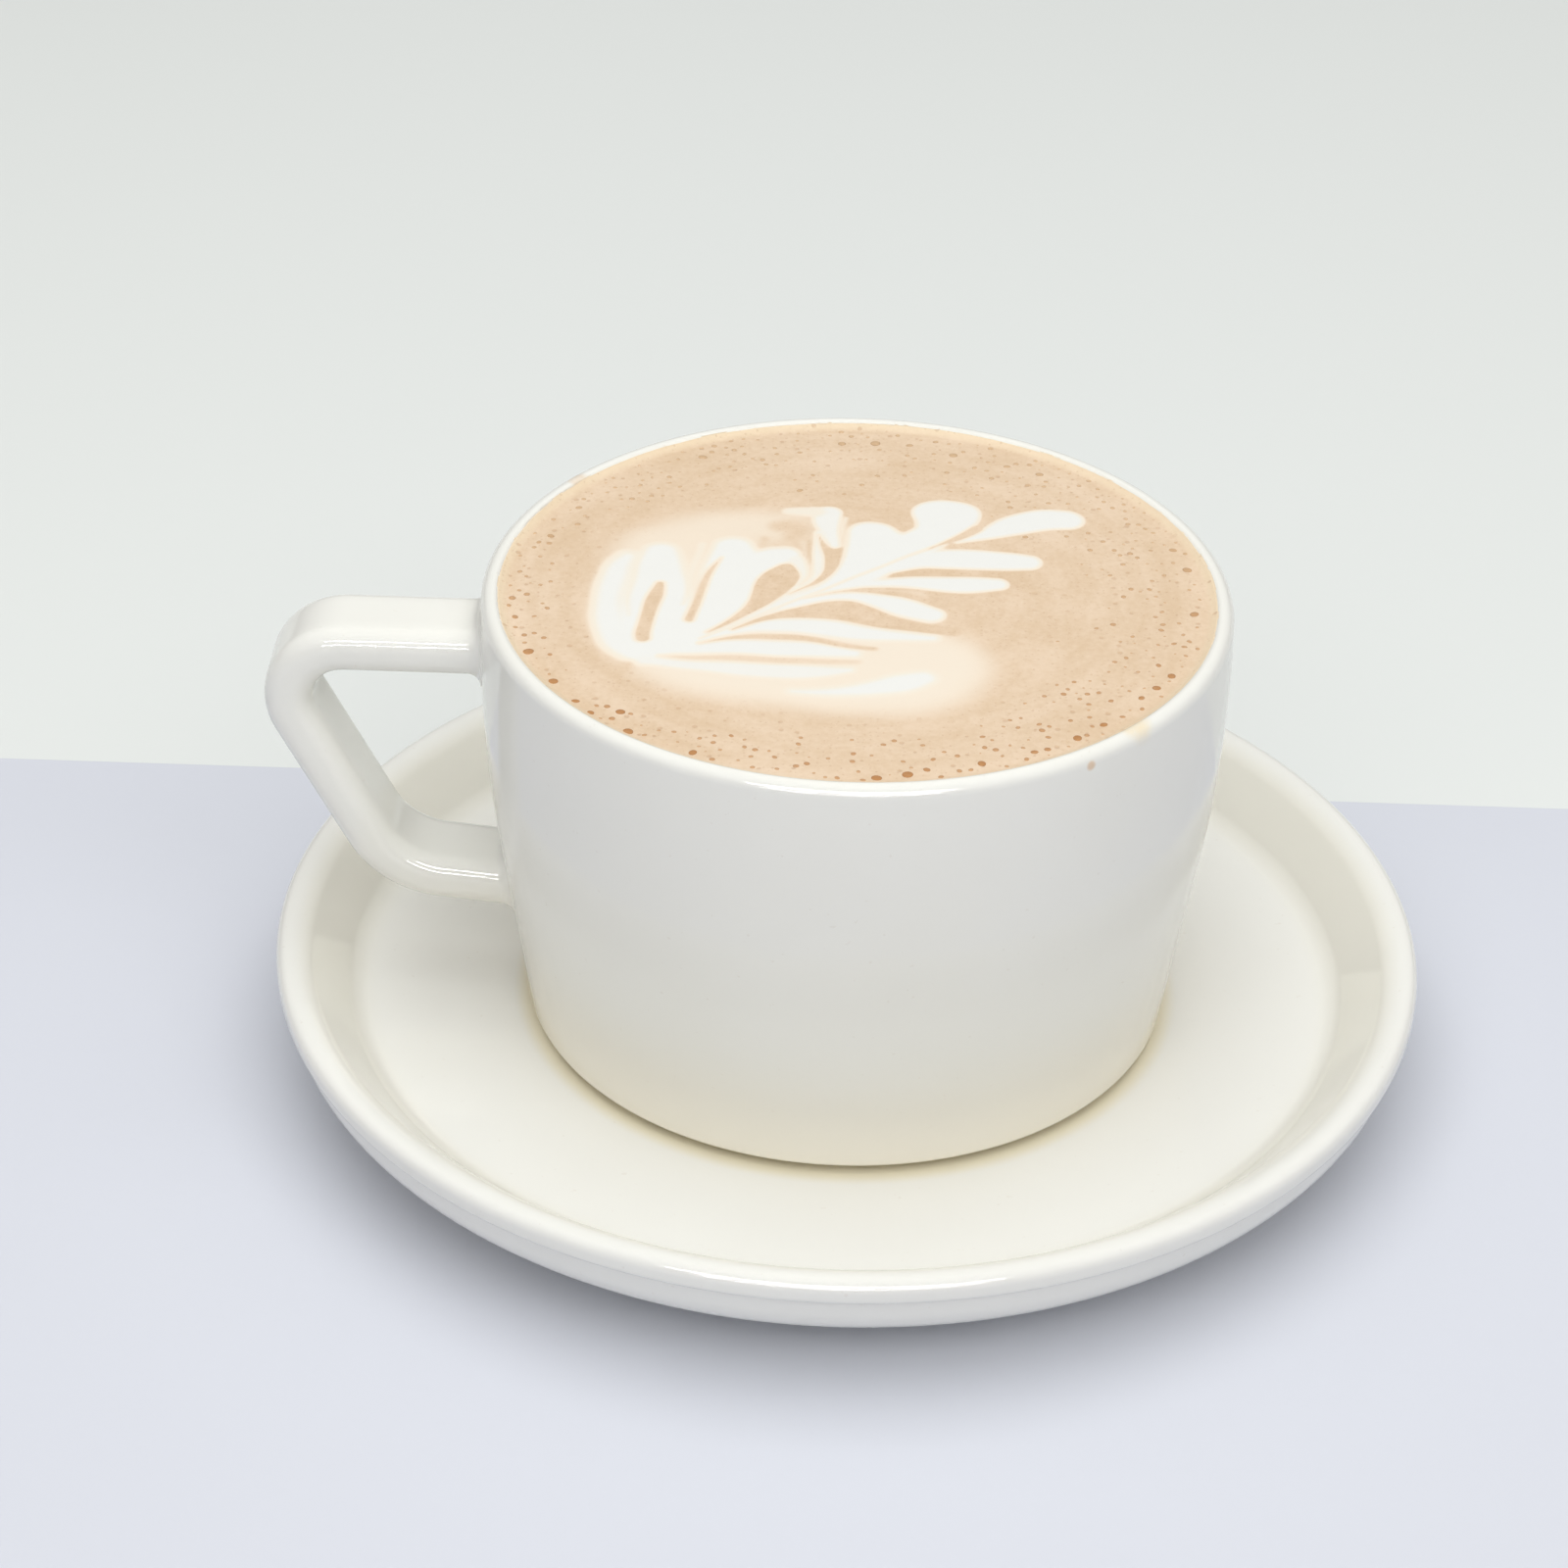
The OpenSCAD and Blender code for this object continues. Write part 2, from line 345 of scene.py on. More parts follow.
# %% Turn the saucer
WELL_R = 41 * MM
WALL_W = 10.5 * MM
FLOOR_RISE = 2.1 * MM
ROLL_W = 3.6 * MM
BAND_H = 3.1 * MM
MIDDLE_T = 4.6 * MM
FOOT_R = 50 * MM
FOOT_W = 4 * MM
rim_r = saucer_top.x
rim_z = saucer_top.z
well_z = cup_bottom.z
saucer_corners = [
    (0, well_z, 0),
    (WELL_R, well_z, 20 * MM),
    (rim_r - WALL_W, well_z + FLOOR_RISE, 4 * MM),
    (rim_r - ROLL_W, rim_z, 4.5 * MM),
    (rim_r, rim_z, 1.35 * MM),
    (rim_r, rim_z - BAND_H, 0.9 * MM),
    (rim_r - 0.8 * MM, rim_z - BAND_H, 0.3 * MM),
    (rim_r - 2 * MM, well_z - 0.1 * MM, 7 * MM),
    (FOOT_R + 2 * MM, well_z - MIDDLE_T, 3 * MM),
    (FOOT_R, 0, 1 * MM),
    (FOOT_R - FOOT_W, 0, 1 * MM),
    (FOOT_R - FOOT_W - 1 * MM, well_z - MIDDLE_T, 1 * MM),
    (0, well_z - MIDDLE_T, 0)]
piece("saucer_body", turned(saucer_corners), saucer_glaze, "saucer")

# %% [markdown]
# ## The cup's bowl
# The wall rises from a sharp lower edge as a straight cone, bends through a long slow curve to its widest
# place, and closes in slightly to a rounded lip. Inside, the wall falls away to a round corner. Each long
# curve could be a row of points along an arc. Here it is one big round between two straight lines, so the
# template needs only the corner where those lines would meet.

# %% Where the tangents of a long curve meet
DRAFT = math.radians(8.2)
BELLY_CURVE = 154 * MM
INNER_CURVE = 100 * MM


def tangent_corner(centre_r, centre_z, radius, start, end):
    """The corner whose rounding of that radius is the arc from start to end, angles in radians."""
    middle = (start + end) / 2
    reach = radius / math.cos((end - start) / 2)
    return (centre_r + reach * math.cos(middle), centre_z + reach * math.sin(middle), radius)


# %% Turn the bowl
BELLY_DROP = 10.9 * MM
LEAN_DROP = 9.4 * MM
CUP_FOOT_H = 1.2 * MM
CUP_FOOT_R = 4.6 * MM
UNDER_H = 1.6 * MM
LIP_ROUND = 0.9 * MM
INNER_CORNER = 14 * MM
lip_z = cup_top.z
belly_r = cup_top.y + 0.04 * MM
belly_z = lip_z - BELLY_DROP
cup_z = well_z + CUP_FOOT_H
brim_r = drink_top.x
lean_in = math.asin(LEAN_DROP / BELLY_CURVE)
belly = tangent_corner(belly_r - BELLY_CURVE, belly_z, BELLY_CURVE, -DRAFT, lean_in)
inner = tangent_corner(brim_r - INNER_CURVE, lip_z - LIP_ROUND, INNER_CURVE, -DRAFT, 0)
base_r = belly[0] - (belly[1] - cup_z) * math.tan(DRAFT)
lip_out_r = belly[0] - (lip_z - belly[1]) * math.tan(lean_in)
floor_r = inner[0] - (inner[1] - drink_bottom.z) * math.tan(DRAFT)
bowl_corners = [
    (0, well_z + UNDER_H, 0),
    (base_r - CUP_FOOT_R - 5 * MM, well_z + UNDER_H, 1 * MM),
    (base_r - CUP_FOOT_R - 4 * MM, well_z, 0.8 * MM),
    (base_r - CUP_FOOT_R, well_z, 0.8 * MM),
    (base_r - CUP_FOOT_R + 0.5 * MM, cup_z, 0.4 * MM),
    (base_r, cup_z, 1.2 * MM),
    belly,
    (lip_out_r, lip_z, 1.5 * MM),
    (brim_r, lip_z, LIP_ROUND),
    inner,
    (floor_r, drink_bottom.z, INNER_CORNER),
    (0, drink_bottom.z, 0)]
bowl = turned(bowl_corners)
print("base", base_r / MM, "lip", lip_out_r / MM, "inner floor", floor_r / MM)

# %% [markdown]
# ## The handle
# The handle is a strap of rounded rectangular section. It leaves the wall level, bends down round a
# finger, runs in a straight slant and bends back to the wall, and each root flares into the wall like wet
# clay that was pressed on. A curve with a bevel object could do the sweep, but a spin round each bend's
# own centre and a plain extrusion along each straight give exact arcs, and the flares can then follow the
# curved wall.

# %% The handle's measures and its section
HANDLE_W = 12.6 * MM
HANDLE_T = 6.3 * MM
EDGE_R = 2.7 * MM
UPPER_BEND = 7.5 * MM
LOWER_BEND = 12 * MM
GRIP_TURN = math.radians(180 - 63)
LOW_TURN = math.radians(180 - 6)
LOWER_ARM_Z = 15.9 * MM
arm_z = lip_z - 9.1 * MM
upper_centre = Vector((cup_bottom.x + HANDLE_T / 2 + UPPER_BEND, 0, arm_z - UPPER_BEND))

strap = bmesh.new()
bmesh.ops.create_grid(strap, x_segments=1, y_segments=1, size=0.5)
bmesh.ops.scale(strap, vec=(HANDLE_T, HANDLE_W, 1), verts=strap.verts)
bmesh.ops.bevel(strap, geom=strap.verts[:], affect="VERTICES", offset=EDGE_R, offset_type="OFFSET",
                segments=8, profile=0.5, material=-1)
bmesh.ops.delete(strap, geom=strap.faces[:], context="FACES_ONLY")
bmesh.ops.subdivide_edges(strap, edges=[e for e in strap.edges if e.calc_length() > 2 * MM], cuts=5)
high = strap.verts.layers.float.new("high")
wide = strap.verts.layers.float.new("wide")
for vert in strap.verts:
    vert[high], vert[wide] = vert.co.x, vert.co.y
    vert.co = Vector((upper_centre.x, vert.co.y, arm_z + vert.co.x))
print("section has", len(strap.verts), "points")


# %% Follow the handle's middle line
def wall_radius(z):
    """The bowl's outer radius at a height."""
    if z < belly_z - BELLY_CURVE * math.sin(DRAFT):
        return base_r + (z - cup_z) * math.tan(DRAFT)
    return belly_r - BELLY_CURVE + math.sqrt(BELLY_CURVE ** 2 - (z - belly_z) ** 2)


def heading(turn):
    """The direction of travel along the handle, which starts level, away from the bowl."""
    return Vector((-math.cos(turn), 0, -math.sin(turn)))


def outward(turn):
    """The direction out of the handle's outer face, across the travel."""
    return Vector((-math.sin(turn), 0, math.cos(turn)))


upper_root = Vector((-wall_radius(arm_z), 0, arm_z))
lower_root = Vector((-wall_radius(cup_z + LOWER_ARM_Z), 0, cup_z + LOWER_ARM_Z))
grip_top = upper_centre + (UPPER_BEND - LOWER_BEND) * outward(GRIP_TURN)
grip_length = (-(LOWER_BEND + (grip_top - lower_root).dot(outward(LOW_TURN)))
               / heading(GRIP_TURN).dot(outward(LOW_TURN)))
lower_centre = grip_top + grip_length * heading(GRIP_TURN)
print("bends round", upper_centre / MM, "and", lower_centre / MM, "grip", grip_length / MM)


# %% Sweep the strap: spin, extrude, spin
def edges_of(geometry):
    return [e for e in geometry if isinstance(e, bmesh.types.BMEdge)]


def points_of(ring):
    return list({v for e in ring for v in e.verts})


def push(ring, offset=(0, 0, 0)):
    """Extrudes a ring of edges by that offset and returns the new ring."""
    old = set(points_of(ring))
    grown = bmesh.ops.extrude_edge_only(strap, edges=ring)["geom"]
    new = [e for e in edges_of(grown) if not old & set(e.verts)]
    bmesh.ops.translate(strap, vec=offset, verts=points_of(new))
    return new


def bend(ring, centre, turn, steps):
    """Spins a ring of edges round the bend's centre and returns the last ring."""
    return edges_of(bmesh.ops.spin(strap, geom=ring + points_of(ring), cent=centre, axis=(0, -1, 0),
                                   angle=turn, steps=steps, use_merge=False)["geom_last"])


first_ring = strap.edges[:]
ring = bend(first_ring, upper_centre, GRIP_TURN, 28)
ring = push(ring, grip_length * heading(GRIP_TURN))
ring = bend(ring, lower_centre, LOW_TURN - GRIP_TURN, 18)
print("strap reaches", min(v.co.x for v in strap.verts) / MM)

# %% Flare both roots into the wall
ROOT_FILLET = 1.6 * MM
FLARE_STEPS = 6
SINK = 1.2 * MM


def flare(ring, root, turn, away):
    """Runs a straight arm to the wall, widens it there as a fillet does, and closes it in the wall."""
    for step in range(FLARE_STEPS + 2):
        angle = math.radians(90) * min(step, FLARE_STEPS) / FLARE_STEPS
        growth = ROOT_FILLET * (1 - math.cos(angle))
        gap = ROOT_FILLET * (1 - math.sin(angle)) - (SINK if step > FLARE_STEPS else 0)
        ring = push(ring)
        for vert in points_of(ring):
            place = Vector((vert[high], vert[wide]))
            inset = Vector((HANDLE_T / 2 - EDGE_R, HANDLE_W / 2 - EDGE_R))
            core = Vector((max(-inset.x, min(inset.x, place.x)), max(-inset.y, min(inset.y, place.y))))
            place += (place - core).normalized() * growth
            spot = root + place.x * outward(turn) + Vector((0, place.y, 0))
            for _ in range(8):
                spot += away * (gap + wall_radius(spot.z) - math.hypot(spot.x, spot.y))
            vert.co = spot
    bmesh.ops.contextual_create(strap, geom=ring)


flare(ring, lower_root, LOW_TURN, -heading(LOW_TURN))
flare(first_ring, upper_root, 0, heading(0))
bmesh.ops.recalc_face_normals(strap, faces=strap.faces)

# %% Put handle and bowl together
strap_mesh = bpy.data.meshes.new("strap")
strap.to_mesh(strap_mesh)
strap.free()
bowl.from_mesh(strap_mesh)
bpy.data.meshes.remove(strap_mesh)
piece("cup_body", bowl, cup_glaze, "cup")

# %% [markdown]
# ## The drink's surface
# Steamed milk is poured through brown crema, so the surface holds a drawing: a leaf whose white lobes are
# parted by tan lines. An image would be the quick way. Here each lobe and line is a stroke, as the jug
# drew it: a smooth path with a width at each point. The strokes are laid one over another onto a fine
# disc, and the result is kept as an attribute of its points, which the finish turns into colour. A fan of
# triangles round the middle would make long thin faces there, so the disc is a square grid that is pulled
# round.

# %% The disc of foam and the drink below it
FOAM_CELLS = 280
ONTO_LIP = 0.35 * MM
INTO_WALL = 0.05 * MM
foam_z = drink_top.z
foam_r = brim_r + ONTO_LIP
drink = bmesh.new()
bmesh.ops.create_grid(drink, x_segments=FOAM_CELLS, y_segments=FOAM_CELLS, size=1)
for vert in drink.verts:
    x, y, _ = vert.co
    vert.co = foam_r * Vector((x * math.sqrt(1 - y * y / 2), y * math.sqrt(1 - x * x / 2), foam_z / foam_r))
on_top = len(drink.verts)
edge = [e for e in drink.edges if e.is_boundary]
side_line = template([(foam_r, foam_z, 0), (inner[0] + INTO_WALL, inner[1], INNER_CURVE),
                      (floor_r + INTO_WALL, drink_bottom.z - INTO_WALL, INNER_CORNER),
                      (0, drink_bottom.z - INTO_WALL, 0)], 4 * MM)
levels = sorted(((v.co.z, v.co.x) for v in side_line.verts if 0 < v.co.x), reverse=True)[1:]
side_line.free()
for z, r in levels:
    grown = bmesh.ops.extrude_edge_only(drink, edges=edge)["geom"]
    edge = [e for e in edges_of(grown) if e.is_boundary]
    for vert in points_of(edge):
        vert.co = (vert.co.xy.normalized() * r).to_3d() + Vector((0, 0, z))
bmesh.ops.contextual_create(drink, geom=edge)
bmesh.ops.recalc_face_normals(drink, faces=drink.faces)
print("drink has", len(drink.faces), "faces")

# %% The strokes of the pour
# Each stroke: how white it is (1 milk, 0 crema), how soft its edge is in mm, and its path as points
# (right, away, half-width), in mm from the middle of the pour, which lies just beside that of the cup.
POUR_MIDDLE = (0.34, -0.45)
HALO = [
    (0.30, 14.0, [(-26, 8, 9.5), (-25, -6, 11.5), (-21, -16, 11.5), (-8, -19, 12), (4, -19, 12.5),
                  (7, -17, 11.5)]),
    (0.34, 13.0, [(-26, 11, 8), (-20, 15, 8), (-11, 16, 7.5), (-7, 18, 4)]),
    (0.56, 9.5, [(-25, 7, 7), (-24, -6, 9), (-20, -16, 9), (-8, -19, 9.5), (4, -19, 10.5),
                 (7.5, -17.5, 9.5)]),
    (0.50, 8.0, [(-25, 12, 5), (-18, 16, 5.5), (-10, 18, 3.5)]),
]
MILK = [
    (0.88, 3.0, [(-27, -14, 3.2), (-21, -11, 3.2), (-14, -6.5, 2.4), (-7, -0.5, 1.8), (0, 5, 2)]),
    (1.00, 2.8, [(-30.5, 8, 1.2), (-31.8, 4, 1.9), (-32.2, -3, 1.9), (-31.6, -9, 2.2), (-29.6, -14, 2.4),
                 (-27, -16.8, 2)]),
    (1.00, 2.0, [(-26.3, 9.5, 2.2), (-26.2, 5, 3.3), (-26, -3, 4.3), (-26.3, -10, 4.2), (-26.5, -15, 3)]),
    (1.00, 1.8, [(-16.8, 11.5, 2.6), (-16.6, 7, 3.6), (-17.4, 0, 3.4), (-19, -6, 3.2), (-22, -12, 3)]),
    (1.00, 1.7, [(-9.8, 9.9, 2.1), (-12.4, 8.6, 2.4), (-14.5, 4, 2), (-16, -1, 1.8)]),
    (0.90, 1.1, [(-8.2, 8.5, 1.2), (-7.2, 5, 1), (-7.6, 2, 1), (-10, -1.5, 0.8), (-14, -6, 0.7),
                 (-19, -11, 0.8)]),
    (0.97, 1.2, [(-4.6, 21.6, 1.9), (-4.6, 19, 1.8), (-4.2, 16, 1.2), (-3.6, 13, 0.8)]),
    (0.75, 1.6, [(-9.5, 21.8, 0.8), (-6.5, 22, 1.4)]),
    (0.90, 1.0, [(-5.6, 16, 0.7), (-5.4, 11, 0.9), (-5.6, 6, 0.9), (-7.5, 2.5, 0.8)]),
    (1.00, 1.7, [(1.5, 16.4, 3.3), (2.2, 12.5, 4.4), (1.2, 8.5, 3.8), (-1.2, 4.6, 2.5), (-4.4, 0.8, 1.4),
                 (-8.5, -2.8, 0.9)]),
    (1.00, 1.7, [(11.2, 21.6, 4.4), (9.8, 17.5, 3.2), (7.4, 14, 3.4), (4, 10, 3.4)]),
    (1.00, 1.7, [(9.2, 22.8, 2.6), (13, 22.9, 2.9)]),
    (1.00, 1.6, [(12.6, 14.6, 0.3), (16, 17, 1.2), (20, 19.7, 2.5), (24, 21.4, 2.9), (26.9, 21.7, 2.6)]),
    (1.00, 1.6, [(4.5, 7.4, 1), (8, 9.2, 1.7), (11, 10, 2.4), (15, 10.2, 2.7), (19, 10, 2.4),
                 (22, 9.7, 1.9)]),
    (1.00, 1.6, [(-2, 2.6, 0.7), (4, 3.4, 1.2), (9, 3.5, 1.8), (14, 3.4, 2.1), (17.6, 3.9, 1.6)]),
    (1.00, 1.6, [(-10, -3.6, 0.7), (-5, -1.2, 0.9), (-1, -0.5, 1.2), (2.5, -1.4, 1.8), (5.8, -2.9, 2.3),
                 (9, -4.6, 1.9)]),
    (1.00, 1.6, [(-19, -11.2, 0.6), (-14, -8.8, 1.3), (-9, -8.3, 1.7), (-4, -8.8, 2.1), (0, -9.6, 1.8),
                 (5, -10.3, 1.2), (9.5, -10.4, 0.7)]),
    (1.00, 1.6, [(-27, -15, 1.4), (-21, -14.4, 1.6), (-15, -14.1, 1.8), (-10, -14.1, 2), (-5, -14.4, 1.7),
                 (-0.5, -14.9, 0.9)]),
    (0.96, 1.4, [(-27, -18, 1), (-20, -19, 1.2), (-14, -19.6, 1.6), (-9, -19.8, 1.7), (-4.5, -19.5, 1.3),
                 (-1, -18.9, 0.6)]),
    (1.00, 2.0, [(-8, -24.3, 0.5), (-2, -24.2, 1.1), (2, -23.3, 1.7), (5.5, -21.8, 2.2), (8.3, -20.2, 1.6)]),
]
PARTINGS = [
    (0.12, 1.2, [(-25.9, 1.2, 0.6), (-26.2, -2, 1), (-26.9, -7, 1), (-27.4, -11, 1), (-27.3, -12.8, 0.9)]),
    (0.25, 1.0, [(-18.2, 8.6, 0.1), (-19.2, 5.5, 0.5), (-20, 2, 0.6), (-20.8, -2, 0.65),
                 (-21.6, -7.6, 0.75)]),
    (0.72, 1.2, [(-21, 12, 0.3), (-21.6, 7, 0.3), (-22, 2, 0.3), (-22.7, -4, 0.1)]),
    (0.78, 1.2, [(-29, 9, 0.4), (-29.3, 4, 0.4), (-29.6, -2, 0.3), (-29.4, -7, 0.1)]),
    (0.02, 1.2, [(-9.9, 6, 1.2), (-10.5, 4, 2.1), (-11.2, 1.5, 2.3), (-12.2, -1, 1.8), (-13.8, -4, 1),
                 (-16, -7.2, 0.5), (-19, -10.6, 0.15)]),
    (0.35, 1.2, [(-12.7, 14, 0.6), (-13, 12, 0.1)]),
    (0.28, 2.4, [(-10.8, 17.4, 1.2), (-8.8, 17.3, 1.7), (-8.8, 14.6, 1)]),
    (0.45, 1.0, [(-7.6, 13.5, 0.3), (-7.1, 10, 0.35), (-6.7, 7, 0.35), (-6.8, 4.5, 0.3), (-8, 2, 0.1)]),
    (0.12, 1.0, [(-5.8, 15.5, 0.1), (-5.1, 13, 0.4), (-4.1, 10.5, 0.75), (-3.8, 8.2, 0.85),
                 (-4.4, 5.6, 0.55), (-6, 3, 0.3), (-9, -0.4, 0.1)]),
    (0.55, 1.2, [(-2.1, 20.3, 0.5), (-2.5, 17, 0.5), (-2.3, 13, 0.25)]),
    (0.06, 1.1, [(-16, -9.6, 0.2), (-12.5, -7, 0.5), (-9, -5.3, 0.8), (-5, -4.1, 1.1), (-1, -4.7, 1.5),
                 (3, -6.5, 1.4), (8, -8, 0.9), (12, -8.6, 0.8)]),
    (0.26, 1.2, [(-20, -13.4, 0.2), (-15.5, -11.6, 0.55), (-11, -11.1, 0.65), (-6.5, -11.6, 0.65),
                 (-2.5, -12.8, 0.6), (2, -13.6, 0.4)]),
    (0.38, 1.4, [(-25, -17, 0.2), (-18, -16.9, 0.7), (-11, -17.1, 0.9), (-5, -17.1, 0.7), (0, -16.9, 0.4)]),
    (0.35, 1.0, [(-7, -1.2, 0.1), (-3, 0.6, 0.35), (1, 1.4, 0.45), (5, 1.3, 0.55), (8, 0.6, 0.8)]),
    (0.62, 0.9, [(-20, -12.3, 0.1), (-12, -5.4, 0.15), (-3, 2.6, 0.2), (5, 9.6, 0.2), (9.5, 13, 0.35)]),
    (0.20, 0.9, [(9, 12.6, 0.1), (12.5, 15.8, 0.6), (15, 18.6, 0.8)]),
    (0.20, 3.0, [(-33, -24, 2.2), (-30.5, -22, 1.2), (-28.6, -19, 0.3)]),
]


def smooth_path(points, steps=10):
    """A Catmull-Rom path through points of any number of values, with that many steps a span."""
    p = np.array([points[0]] + list(points) + [points[-1]], float)
    t = np.linspace(0, 1, steps, endpoint=False)[:, None]
    spans = []
    for a, b, c, d in zip(p, p[1:], p[2:], p[3:]):
        bend = (2 * a - 5 * b + 4 * c - d) * t ** 2 + (3 * b - a - 3 * c + d) * t ** 3
        spans.append(0.5 * (2 * b + (c - a) * t + bend))
    return np.vstack(spans + [p[-1:]])


def cover(places, path, soft):
    """How far a stroke covers each place: 1 inside, 0 outside, with a soft edge centred on its outline."""
    line = smooth_path(path)
    clear = np.full(len(places), np.inf)
    for start, end in zip(line, line[1:]):
        run = end[:2] - start[:2]
        along = np.clip((places - start[:2]) @ run / max(run @ run, 1e-9), 0, 1)
        apart = np.linalg.norm(places - start[:2] - along[:, None] * run, axis=1)
        clear = np.minimum(clear, apart - (start[2] + (end[2] - start[2]) * along))
    edge = np.clip(0.5 - clear / soft, 0, 1)
    return edge * edge * (3 - 2 * edge)


# %% Mix milk and crema at any place
DRIFT = 0.35
DRIFT_LENGTH = 7


def whiteness(places):
    """How milky the foam is at each place in mm, 0 to 1; the strokes drift a little, as poured lines do."""
    spots = [(x / DRIFT_LENGTH, y / DRIFT_LENGTH) for x, y in places]
    drift = np.array([[noise.noise((x, y, 1)), noise.noise((x, y, 5))] for x, y in spots])
    places = places - POUR_MIDDLE + DRIFT * drift
    milk = np.zeros(len(places))
    for strokes in (HALO, MILK, PARTINGS):
        for white, soft, path in strokes:
            reach = max(p[2] for p in path) + soft
            low, top = np.min(path, axis=0)[:2] - reach, np.max(path, axis=0)[:2] + reach
            within = np.all((places > low) & (places < top), axis=1)
            milk[within] += (white - milk[within]) * cover(places[within], path, soft)
    return milk


# %% Lay the strokes onto the disc and raise its relief
# All in mm. The foam climbs the lip all round, as a liquid climbs a wall, and milk stands above crema.
MENISCUS = 0.7
MENISCUS_W = 1.6
MILK_RISE = 0.05
RIPPLE = 0.03
milk_layer = drink.verts.layers.float.new("milk")
drink.verts.ensure_lookup_table()
foam_points = drink.verts[:on_top]
places = np.array([v.co[:2] for v in foam_points]) / MM
milk = whiteness(places)
from_wall = foam_r / MM - np.linalg.norm(places, axis=1)
ripple = np.array([noise.noise((x / 4, y / 4, 9)) for x, y in places])
relief = MENISCUS * np.clip(1 - from_wall / MENISCUS_W, 0, 1) ** 2 + MILK_RISE * milk + RIPPLE * ripple
for vert, white, lift in zip(foam_points, milk, relief):
    vert[milk_layer] = white
    vert.co.z += lift * MM
print("milk covers", round(float(milk.mean()), 3), "of the foam")

# %% [markdown]
# ## The foam's finish
# Crema is a brown foam of bubbles too small to see one by one, so its colour drifts in clouds, streaks
# run round it where the jug stirred it, and it is peppered with pits. Milk foam is nearly white and
# finer. Where they meet, they mix to peach. The bubbles could all be modelled, but that would be millions
# of faces. A ramp on the milk attribute gives the mixture instead, Voronoi cells with a random size each
# give the pits, and the foam is matt enough that the lamps show only as a broad sheen.


# %% Pits: dots in the cells of a Voronoi pattern
def dots(at, cell, largest, share):
    """1 in the middle of some cells, 0 elsewhere; each dot has its own size, up to the largest radius."""
    settings = {"voronoi_dimensions": "2D", "feature": "F1"}
    inputs = {"Vector": flattened(at), "Scale": 1 / cell, "Randomness": 0.9}
    apart = at.node("ShaderNodeTexVoronoi", settings, inputs)
    cell_colour = Wire(apart.socket.node.outputs["Color"])
    first = cell_colour.node("ShaderNodeSeparateColor", {}, {"Color": cell_colour})
    second = Wire(first.socket.node.outputs[1])
    size = first * (largest / cell)
    kept = fade(second, 1 - share, 1 - share + 0.05)
    inside = (size - apart) * (1 / (0.35 * largest / cell))
    return inside.node("ShaderNodeClamp", {}, {"Value": inside}) * kept


# %% Crema and its streaks
def streaks_round(at, out):
    """Noise in long streaks round the axis: it is read off a small circle that climbs with out."""
    from_middle = at.node("ShaderNodeVectorMath", {"operation": "NORMALIZE"}, {0: flattened(at)})
    on_circle = at.node("ShaderNodeVectorMath", {"operation": "SCALE"}, {0: from_middle, "Scale": 20 * MM})
    upwards = out.node("ShaderNodeCombineXYZ", {}, {"Z": out * 3})
    wrapped = at.node("ShaderNodeVectorMath", {"operation": "ADD"}, {0: on_circle, 1: upwards})
    return clouds(wrapped, 9 * MM, 4, 0.55)


foam, shader, at = finish("coffee foam", IOR=1.4, Specular_IOR_Level=0.2)
spread = axis_distance(at)
grain = clouds(at, 0.8 * MM, 3, 0.7)
tone = streaks_round(at, spread) * 0.35 + clouds(at, 11 * MM, 4, 0.6) * 0.3 + grain * 0.35
crema = blend(fade(tone, 0.32, 0.68), srgb(217, 191, 160), srgb(231, 209, 184))

# %% Milk, pits and the paler edge
white = attribute(at, "milk")
crema_share = 1 - fade(white, 0.15, 0.6)
mixture = white.node("ShaderNodeValToRGB", {"stops": [
    (0.0, srgb(226, 202, 173)), (0.25, srgb(235, 215, 192)), (0.5, srgb(240, 227, 209)),
    (0.8, srgb(238, 231, 217)), (1.0, srgb(235, 235, 231))]}, {"Fac": white})
body_colour = blend(crema_share, mixture, crema)
edge_band = fade(spread, foam_r - 1.6 * MM, foam_r - 0.3 * MM)
edged = blend(edge_band * 0.6, body_colour, srgb(243, 226, 196))
near_edge = fade(spread, 20 * MM, 44 * MM)
fine_pits = dots(at, 0.8 * MM, 0.2 * MM, 0.6) * crema_share
pits = dots(at, 2.1 * MM, 0.42 * MM, 0.5) * crema_share * (0.35 + 0.65 * near_edge)
pitted = blend(fine_pits * 0.25, blend(pits * 0.35, edged, srgb(190, 146, 106)), srgb(200, 162, 124))
bumps = grain * 0.4 + clouds(at, 0.35 * MM, 2) * 0.3 - pits - fine_pits * 0.5
feed(shader,
     Base_Color=pitted,
     Roughness=0.5 + crema_share * 0.1 - pits * 0.15,
     Normal=raised(bumps, 0.05 * MM))
piece("coffee_foam", drink, foam, "coffee")

# %% [markdown]
# ## Bubbles
# Bigger bubbles sit in the crema, most of them round the edge, where the pour pushed them. Each is a thin
# brown film over a hollow. Instances on points could scatter them, but a seeded loop gives the same
# bubbles each time and keeps them off the milk and off each other. The largest are placed one by one.
# Each is a sphere of 72 faces, flattened and sunk, and all of them are one mesh.

